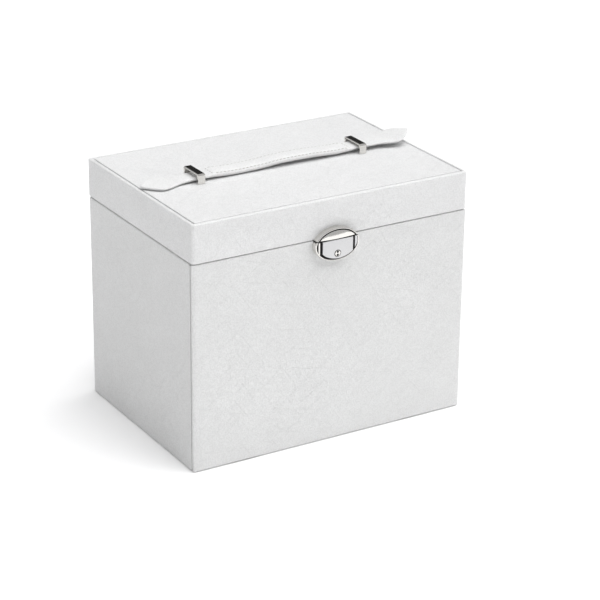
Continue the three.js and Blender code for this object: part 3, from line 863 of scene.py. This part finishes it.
def ring_roll(index):
    """A velvet-covered foam roll that rings stand between."""
    y = -59 + 19 * (index + 0.5)
    radius = 9.1
    z0 = TRAY_Z
    shoulder = z0 + 8
    arch = 18
    section = [(-0.88, z0 + 0.1), (0.88, z0 + 0.1), (0.97, z0 + 0.7), (1.0, z0 + 2), (1.0, shoulder - 2)]
    section = [(u * radius, v) for u, v in section]
    for k in range(arch + 1):
        angle = math.pi * k / arch
        section.append((radius * math.cos(angle), shoulder + radius * math.sin(angle)))
    section += [(-radius, shoulder - 2), (-radius, z0 + 2), (-0.97 * radius, z0 + 0.7)]
    x0, x1 = -113.2, -20.9
    count = 24
    rings = []
    middle_z = z0 + 7
    for k in range(count + 1):
        share = k / count
        x = x0 + (x1 - x0) * share
        end = min(x - x0, x1 - x)
        pinch = 1 - 0.16 * max(0, 1 - end / 3.5) ** 2
        swell = min(1 + 0.006 * math.sin(share * 17 + index * 2), 1.0)
        rings.append([
            Vector((x, y + u * pinch * swell, middle_z + (v - middle_z) * (pinch if v > middle_z else 1)))
            for u, v in section
        ])
    piece = Piece()
    piece.loft(rings)
    name = f"ring_roll_{index + 1}"
    roll = piece.done(f"{name}_velvet", "chest", [ROLL_VELVET], [name])


# ---------------- lid

LID_CORNER = 3.0


def lid_outline():
    return rectangle(-HALF_X, HALF_X, FRONT, BACK, LID_CORNER)


def lid_wrap():
    """The lid's walls in leather, up over the rim and down into the groove round its top panel."""
    rim, groove, wall = 3.0, 4.2, 6
    ceiling = 194.6
    low_edge = [(2.0, 0), (0.9, 0), (0.45, 0.12), (0.14, 0.42), (0, 1.0)]
    rim_drops = [
        (0, 1.6), (0.12, 0.9), (0.45, 0.4), (1.0, 0.1), (1.5, 0), (2.1, 0), (rim - 0.35, 0.15),
        (rim - 0.08, 0.5), (rim, 0.9), (rim, 1.3), (groove, 1.3),
    ]
    profile = [(inset, WRAP_LOW + rise) for inset, rise in low_edge]
    profile += [(inset, TOP - drop) for inset, drop in rim_drops]
    profile += [(groove, ceiling), (wall, ceiling)]
    profile += [(wall - back, WRAP_LOW + rise) for back, rise in ((0, 1), (0.3, 0.3), (1, 0))]
    piece = Piece()
    piece.prism(lid_outline(), profile, closed=True, arc=8)
    piece.done(
        "lid_wrap", "lid", [LID_LEATHER_PAINTED_LIGHT],
        ["lid_front_board", "lid_back_board", "lid_side_board_left", "lid_side_board_right"],
    )


def lid_top_panel():
    """The padded top, a hair lower than the rim at its edge."""
    piece = Piece()
    corners = rectangle(-HALF_X + 4.1, HALF_X - 4.1, FRONT + 4.1, BACK - 4.1, 1.2)
    piece.prism(corners, slab(194.7, TOP - 0.05, (0.2, 0.2), (0.6, 0.5), 4))
    piece.done("lid_top_panel", "lid", [LID_LEATHER_PAINTED_LIGHT], ["lid_top_board"])


def lid_lining():
    """Velvet on the inside of the lid's walls."""
    piece = Piece()
    profile = [(5.9, 194.4), (5.9, LID_LOW + 1.2), (6.5, LID_LOW + 1.0), (6.8, LID_LOW + 1.6), (6.8, 194.4)]
    piece.prism(lid_outline(), profile, closed=True)
    piece.done("lid_lining", "lid", [VELVET])


def mirror_surround():
    """A padded velvet frame that holds the mirror in the lid."""
    outer = (114.0, 79.0)
    inner = (88.0, 60.0)
    stations = [(0.0, 194.3), (0.0, 192.6), (0.04, 191.9), (0.12, 191.45), (0.3, 191.2), (0.5, 191.1),
                (0.7, 191.2), (0.88, 191.5), (0.97, 192.0), (1.0, 192.8), (1.0, 194.3)]
    rings = []
    for share, z in stations:
        half_x = inner[0] + (outer[0] - inner[0]) * share
        half_y = inner[1] + (outer[1] - inner[1]) * share
        corners = rectangle(-half_x, half_x, -half_y, half_y, 1.0)
        rings.append([along_z(*p, z) for p in outline(corners, 0, 4)])
    piece = Piece()
    piece.loft(rings, closed=True)
    surround = piece.done("mirror_surround_pad", "lid", [VELVET], ["mirror_surround"])


def mirror():
    """Silvered glass with a ground bevel."""
    piece = Piece()
    profile = [(7.4, 192.4), (7.0, 192.4), (0.3, 193.0), (0, 193.2), (0, 194.1), (0.3, 194.3), (1.0, 194.3)]
    piece.prism(rectangle(-87.8, 87.8, -59.8, 59.8, 0.6), profile, arc=3)
    piece.done("lid_mirror_glass", "lid", [MIRROR], ["lid_mirror"], sharp=3)


# ---------------- oval latch

def oval_rings(profile):
    return [[along_front(*p, h) for p in oval(LOCK_A - inset, LOCK_B - inset)] for inset, h in profile]


RIM_DROPS = [                   # inset, and how far behind the rim's face
    (0.0, 0.9), (0.1, 0.45), (0.35, 0.12), (0.65, 0), (0.95, 0.08), (1.15, 0.35), (1.25, 0.8), (1.3, 1.6),
    (1.9, 1.6),
]
RIM_PROFILE = [(0.6, 86.02), (0.1, 86.02), (0.0, 86.2)]
RIM_PROFILE += [(inset, LOCK_FACE - drop) for inset, drop in RIM_DROPS]


def in_recess(middle, normal):
    """The floor and walls of the latch's pocket, which are painted near-black as shade."""
    share = math.hypot(middle.x / (LOCK_A - 1.2), (middle.z - LOCK_Z) / (LOCK_B - 1.2))
    return -(LOCK_FACE - 0.55) < middle.y < -(LOCK_FACE - 1.75) and share < 1.01


def latch_hasp():
    """The latch's upper part on the lid: rim, domed crescent, and the tongue that hangs below."""
    rim = Piece()
    rim.loft(oval_rings(RIM_PROFILE))
    rim.keep((0, 0, LID_LOW), (0, 0, -1))
    tongue_back = -FRONT + 0.9
    corners = [(-6, 160.0, 1.2), (6, 160.0, 1.2), (6, 171.0, 0.3), (-6, 171.0, 0.3)]
    profile = slab(tongue_back, tongue_back + 1.4, (0.25, 0.25), (0.25, 0.25), 2)
    rim.prism(corners, profile, along_front, arc=4)
    catch = ((-2.6, -91, 161.6), (2.6, -85, 164.4))
    # the pocket's floor and walls are painted near-black as shade
    rim.done("latch_hasp_rim", "lid", [NICKEL, RECESS_SHADE], ["latch_hasp"], [catch],
             tests=[(1, in_recess)], sharp=30)

    dome = Piece()
    a, b = LOCK_A - 2.05, LOCK_B - 1.95
    rings = []
    for scale, h in dome_profile(LOCK_FACE - 1.5, LOCK_FACE - 0.55, 1.5):
        rings.append([along_front(u + 0.3, v - 0.25, h) for u, v in oval(a * scale, b * scale)])
    dome.loft(rings)
    dome.keep((0, 0, LID_LOW), (0, 0, -1))
    dome.done("latch_crescent", "lid", [NICKEL], sharp=30)


def dome_profile(h0, shoulder, crown, steps=10):
    """(scale, height) of a plate with an upright edge and a crowned face."""
    path = [(1.0, h0), (1.0, shoulder - 0.25), (0.995, shoulder - 0.08), (0.98, shoulder + 0.04)]
    for k in range(1, steps + 1):
        scale = 0.98 * (1 - k / steps) + 0.01
        path.append((scale, shoulder + 0.04 + crown * (1 - (scale / 0.98) ** 2)))
    return path


def latch_case():
    """The latch's lower part on the front panel: rim, pocket, guide rib and right cheek."""
    case = Piece()
    case.loft(oval_rings(RIM_PROFILE))
    case.keep((0, 0, SEAM), (0, 0, 1))
    tongue_room = ((-NOTCH_X, -88.7, NOTCH_Z), (NOTCH_X, -85, 173))
    # the pocket's floor and walls are painted near-black as shade
    case.done("latch_case", "front_panel", [NICKEL, RECESS_SHADE], ["latch_body"], [tongue_room],
              tests=[(1, in_recess)], sharp=30)

    rib = Piece()
    profile = slab(89.7, 91.2, (0.05, 0.05), (0.3, 0.3), 3)
    rib.prism(rectangle(-16.6, -15.2, 157.7, SEAM - 0.3, 0.3), profile, along_front, arc=3)
    rib.done("latch_rib", "front_panel", [NICKEL])

    cheek = Piece()
    points = []
    count = 14
    for k in range(count + 1):
        z = -7.2 + (SEAM - 0.15 - LOCK_Z + 7.2) * k / count
        edge = (LOCK_A - 1.35) * math.sqrt(1 - (z / (LOCK_B - 1.35)) ** 2)
        points.append((max(edge, 15.75), LOCK_Z + z, 0))
    points += [(15.6, SEAM - 0.15, 0), (15.6, LOCK_Z - 7.2, 0)]
    cheek.prism(points, slab(89.7, 91.1, (0.02, 0.02), (0.12, 0.2), 2, 0.02), along_front, arc=2)
    cheek.done("latch_cheek", "front_panel", [BRUSHED])


def latch_slider():
    """The brushed plate that slides aside, bored for the key plug."""
    a, b = LOCK_A - 1.6, LOCK_B - 1.6
    left, right = -13.1, 13.7
    top = SEAM - 0.15 - LOCK_Z

    def depth(x, shift):
        return b * math.sqrt(max(0.0, 1 - ((x - shift) / a) ** 2))

    count = 36
    points = []
    for k in range(count + 1):
        x = left + (right - left) * k / count
        points.append((x, -min(depth(x, 0), depth(x, 2))))
    points += [(right, top), (left, top)]
    rings = []
    centre = Vector((0.3, -2.0))
    for inset, scale, h in [
        (0, 1, 90.15), (0, 1, 91.25), (0.06, 1, 91.4), (0.2, 1, 91.5),
        *[(0.2, 1 - k / 10, 91.5 + 0.32 * (1 - (1 - k / 10) ** 2)) for k in range(1, 10)],
    ]:
        moved = [centre + (p - centre) * scale for p in outline([(*p, 0) for p in points], inset)]
        rings.append([along_front(*(p + Vector((0, LOCK_Z))), h) for p in moved])
    plate = Piece()
    plate.loft(rings)
    hole = 2.9
    slider = plate.done(
        "latch_slider_plate", "latch_slider", [BRUSHED, RECESS_SHADE], ["latch_slider"],
        rods=[(hole, (0, -95, PLUG_Z), (0, -85, PLUG_Z))], sharp=30,
    )
    # the bore's wall is painted near-black as shade
    repaint(slider, 1, lambda middle: math.hypot(middle.x, middle.z - PLUG_Z) < hole + 0.02)


def key_plug():
    """The round plug: a bevelled rim round a face with two deep key holes."""
    plug = Piece()
    face = 91.8
    profile = [(0, 90.2), (2.4, 90.2), (2.4, 91.75), (2.34, 91.95), (2.2, 92.03), (2.05, 92.0)]
    profile += [(1.95, 91.85), (1.9, face), (0, face)]
    plug.lathe(profile, lambda u, v, h: Vector((u, -h, PLUG_Z + v)), 48)
    hole, apart = 0.95, 1.2
    rods = [(hole, (0, -93, PLUG_Z + dz), (0, -90.6, PLUG_Z + dz)) for dz in (-apart, apart)]
    piece = plug.done(
        "key_plug_face", "key_plug", [NICKEL, RECESS_SHADE], ["key_plug"], rods=rods, sharp=30
    )
    # the key holes' walls are painted near-black as shade
    repaint(piece, 1, lambda middle: any(
        math.hypot(middle.x, middle.z - PLUG_Z - dz) < hole + 0.02 and -91.79 < middle.y < -90.5
        for dz in (-apart, apart)
    ))


# ---------------- handle

def handle_loop(side, x):
    """A polished staple: flat bar with bevelled edges, bent down into two legs."""
    half_span = 12.0
    bend = 1.5
    low, high = 200.05, 208.0
    half_width = 3.1
    thick = 2.4
    bevel = 0.38
    path = [(-half_span, low, (-1, 0)), (-half_span, high - bend, (-1, 0))]
    for k in range(1, 7):
        angle = math.pi / 2 * k / 6
        path.append((-half_span + bend * (1 - math.cos(angle)), high - bend * (1 - math.sin(angle)),
                     (-math.cos(angle), math.sin(angle))))
    path += [(-y, z, (-n[0], n[1])) for y, z, n in reversed(path)]
    section = [
        (-half_width, -thick + 0.3), (-half_width + 0.3, -thick), (half_width - 0.3, -thick),
        (half_width, -thick + 0.3), (half_width, -bevel), (half_width - bevel * 1.1, 0),
        (-half_width + bevel * 1.1, 0), (-half_width, -bevel),
    ]
    rings = []
    for y, z, (ny, nz) in path:
        ring = []
        for across, out in section:
            reach = max(out, -bend * 0.55) if ny and nz else out
            ring.append(Vector((x + across, y + ny * reach, z + nz * reach)))
        rings.append(ring)
    piece = Piece()
    piece.loft(rings)
    piece.done(f"handle_loop_{side}_staple", "lid", [NICKEL], [f"handle_loop_{side}"], sharp=20)


STRAP_MIDDLE = 1.7
STRAP_RUN = [                   # x, and the height of the strap's underside there
    (-118.6, 201.0), (-113, 200.8), (-103, 200.7), (-95, 200.65), (-88, 200.95), (-80, 201.6),
    (-68.7, 202.0), (-61, 201.8), (-50, 201.15), (-40, 200.8), (-30, 200.95), (-20, 201.25), (-13, 201.65),
    (-3, 202.5), (5, 202.75), (25, 202.75), (35, 202.4), (46, 201.85), (52, 201.65), (57, 201.9),
    (64, 202.5), (70, 203.2), (84, 203.2), (94, 203.4), (100, 203.6), (104, 204.15), (108, 205.25),
    (112, 206.5), (116, 207.2), (122, 207.85),
]
TAIL_NECK = 87                  # where the strap starts to widen, from its middle
TAIL_WIDEST = 106
TAIL_TIP = 120.3
TAIL_HALF = 13.3                # half of its greatest width
TAIL_POINT = 1.5                # higher is blunter


def smooth(share):
    share = min(1.0, max(0.0, share))
    return share * share * (3 - 2 * share)


def along_run(points, x):
    """The height at x of a smooth curve through points."""
    last = len(points) - 1
    index = min(max(sum(1 for p in points if p[0] <= x) - 1, 0), last - 1)

    def slope(k):
        (x0, z0), (x1, z1) = points[max(k - 1, 0)], points[min(k + 1, last)]
        return (z1 - z0) / (x1 - x0)

    (x0, z0), (x1, z1) = points[index], points[index + 1]
    span = x1 - x0
    t = (x - x0) / span
    pull = slope(index) * span * t * (1 - t) ** 2 - slope(index + 1) * span * t * t * (1 - t)
    return z0 + (z1 - z0) * smooth(t) + pull


def strap_shape(x):
    """Underside height, thickness and half-width of the strap at x."""
    low = along_run(STRAP_RUN, x)
    taper = smooth((abs(x) - 57) / 9)
    thick = 3.6 - 1.6 * taper
    reach = abs(x - STRAP_MIDDLE)
    neck = 8.0 - 0.2 * taper
    if reach > TAIL_WIDEST:
        share = (reach - TAIL_WIDEST) / (TAIL_TIP - TAIL_WIDEST)
        return low, thick, TAIL_HALF * max(0.02, 1 - share ** TAIL_POINT)
    return low, thick, neck + (TAIL_HALF - neck) * smooth((reach - TAIL_NECK) / (TAIL_WIDEST - TAIL_NECK))


STITCH_LINE = 0.85
STRAP_ACROSS = [0, 0.25, 0.5, 0.68, 0.78, 0.82, STITCH_LINE, 0.88, 0.92, 0.97, 1.0]


def strap_section(thick, width, pad):
    """Points round the strap as (y, height above its underside), from the left edge over the underside."""
    edge = min(0.5 * thick / width * 1.1, 0.3)

    def bulge(share):
        over = max(0.0, (share - (1 - edge)) / edge)
        return 0.5 * math.sqrt(max(0.0, 1 - over * over))

    across = [-s for s in reversed(STRAP_ACROSS)] + STRAP_ACROSS[1:]
    under = [(s * width, thick * (0.5 - bulge(abs(s)))) for s in across]
    over = []
    for s in reversed(across[1:-1]):
        share = abs(s)
        height = thick * (0.5 + bulge(share))
        if share < STITCH_LINE:
            height += pad * (1 - (share / STITCH_LINE) ** 2) ** 0.6
        height -= 0.16 * math.exp(-((share - STITCH_LINE) / 0.05) ** 2)
        over.append((s * width, height))
    return under + over


def strap_half(sign):
    """Half of the strap from the middle of the lid to the end of one tail, with its stitching."""
    name = "left" if sign < 0 else "right"
    tip = abs(STRAP_MIDDLE + sign * TAIL_TIP)
    widest = abs(STRAP_MIDDLE + sign * TAIL_WIDEST)
    stations = [2.5 * k for k in range(int(widest / 2.5))]
    stations += [widest + (tip - widest) * math.sin(math.pi / 2 * k / 14) for k in range(14)]
    stations.append(tip - 0.1)
    rings = []
    for x in stations:
        low, thick, width = strap_shape(sign * x)
        pinch = 1 - 0.6 * max(0.0, 1 - (tip - x) / 0.7) ** 2
        pad = 0.75 * min(1.0, (58 - x) / 5) ** 0.5 if x < 58 else 0.0
        ring = []
        for y, height in strap_section(thick, width, pad):
            lifted = low + thick / 2 + (height - thick / 2) * pinch
            ring.append(Vector((sign * x, y, lifted)))
        rings.append(ring if sign > 0 else ring[::-1])
    piece = Piece()
    piece.loft(rings)
    stitch(piece, sign)
    strap = piece.done(
        f"strap_{name}", None, [STRAP_LEATHER, THREAD],
        [f"strap_tail_{name}"] + (["strap_grip"] if sign < 0 else []), sharp=50,
    )
    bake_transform(strap)


def stitch(piece, sign):
    """Rows of thread along both edges of the padded grip, and one across its end."""
    pitch, length, radius = 3.3, 2.3, 0.36
    row_end = 61.5
    up = Vector((0, 0, 1))

    def point(reach, y_share):
        x = STRAP_MIDDLE + sign * reach
        low, thick, width = strap_shape(x)
        return Vector((x, y_share * width, low + thick - 0.02))

    for edge in (-1, 1):
        for k in range(int(row_end / pitch)):
            reach = pitch * (k + 0.5)
            start = point(reach - length / 2, edge * STITCH_LINE)
            stop = point(reach + length / 2, edge * STITCH_LINE)
            piece.capsule(start, stop, up, radius, 1)
    across = 4
    step = 2 * STITCH_LINE / across
    for k in range(across):
        y = -STITCH_LINE + step * (k + 0.5)
        piece.capsule(point(row_end, y - step * 0.34), point(row_end, y + step * 0.34), up, radius, 1)


# ---------------- hinges

def hinge_metal():
    """The CAD leaves and pins have their real shape, so they stay, in plated steel with screws added."""
    for name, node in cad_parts.items():
        if "hinge" in name:
            for holder in node.material_slots:
                holder.material = STEEL
    for x, side in zip(LID_HINGES, ("left", "right")):
        low_row = [(x + dx, 158.5, 87.3) for dx in (-10, 0, 10)]
        high_row = [(x + dx, 179.1, 87.3) for dx in (-10, 0, 10)]
        screws(f"lid_hinge_screws_low_{side}", "chest", low_row, 1, 1.6)
        screws(f"lid_hinge_screws_high_{side}", "lid", high_row, 1, 1.6)
    for x, side in zip(DOOR_HINGES, ("left", "right")):
        row = [(x + dx, 10.0, -82.8) for dx in (-8, 8)]
        screws(f"front_hinge_screws_{side}", "front_panel", row, 1, 1.4)


make_camera()
make_floor()
make_light()
body_wrap()
base_board()
front_panel()
panel_lining()
latch_back_plate()
for name in DRAWERS:
    drawer(name)
shelf("shelf_lower", 52.2, 55.2)
shelf("shelf_upper", 90.4, 93.4)
shelf("tray_floor", 122.6, 126.6)
ring_tray()
lid_wrap()
lid_top_panel()
lid_lining()
mirror_surround()
mirror()
latch_hasp()
latch_case()
latch_slider()
key_plug()
for name, place_x in (("left", -LOOP_X), ("right", LOOP_X)):
    handle_loop(name, place_x)
for way in (-1, 1):
    strap_half(way)
hinge_metal()
